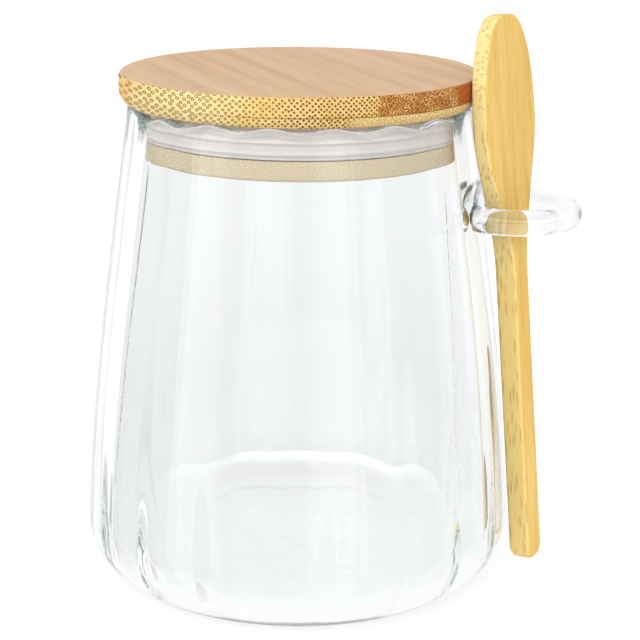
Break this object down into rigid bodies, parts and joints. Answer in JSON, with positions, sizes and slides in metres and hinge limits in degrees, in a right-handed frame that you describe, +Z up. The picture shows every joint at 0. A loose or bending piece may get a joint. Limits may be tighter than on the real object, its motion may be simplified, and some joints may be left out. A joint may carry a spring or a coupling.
{
  "type": "glass sugar jar with bamboo lid and spoon",
  "caption": "Fluted clear glass storage jar, wider at the base, with a bamboo lid, a silicone seal and a glass side ring that holds a bamboo spoon",
  "frame": {"origin": "on the jar's axis, at the flat underside of the glass", "axes": "+Z up along the jar's axis, -Y toward the front of the picture, +X toward the glass ring and spoon"},
  "size_m": [0.1091, 0.0956, 0.1262],
  "materials": {
    "clear_glass": "clear, fire polished",
    "lid_bamboo": "satin bamboo",
    "silicone": "translucent, satin",
    "spoon_bamboo": "satin bamboo"
  },
  "bodies": {
    "root": {"jar": "clear_glass", "lid": "lid_bamboo", "seal_ring": "silicone", "spoon": "spoon_bamboo"}
  },
  "joints": []
}
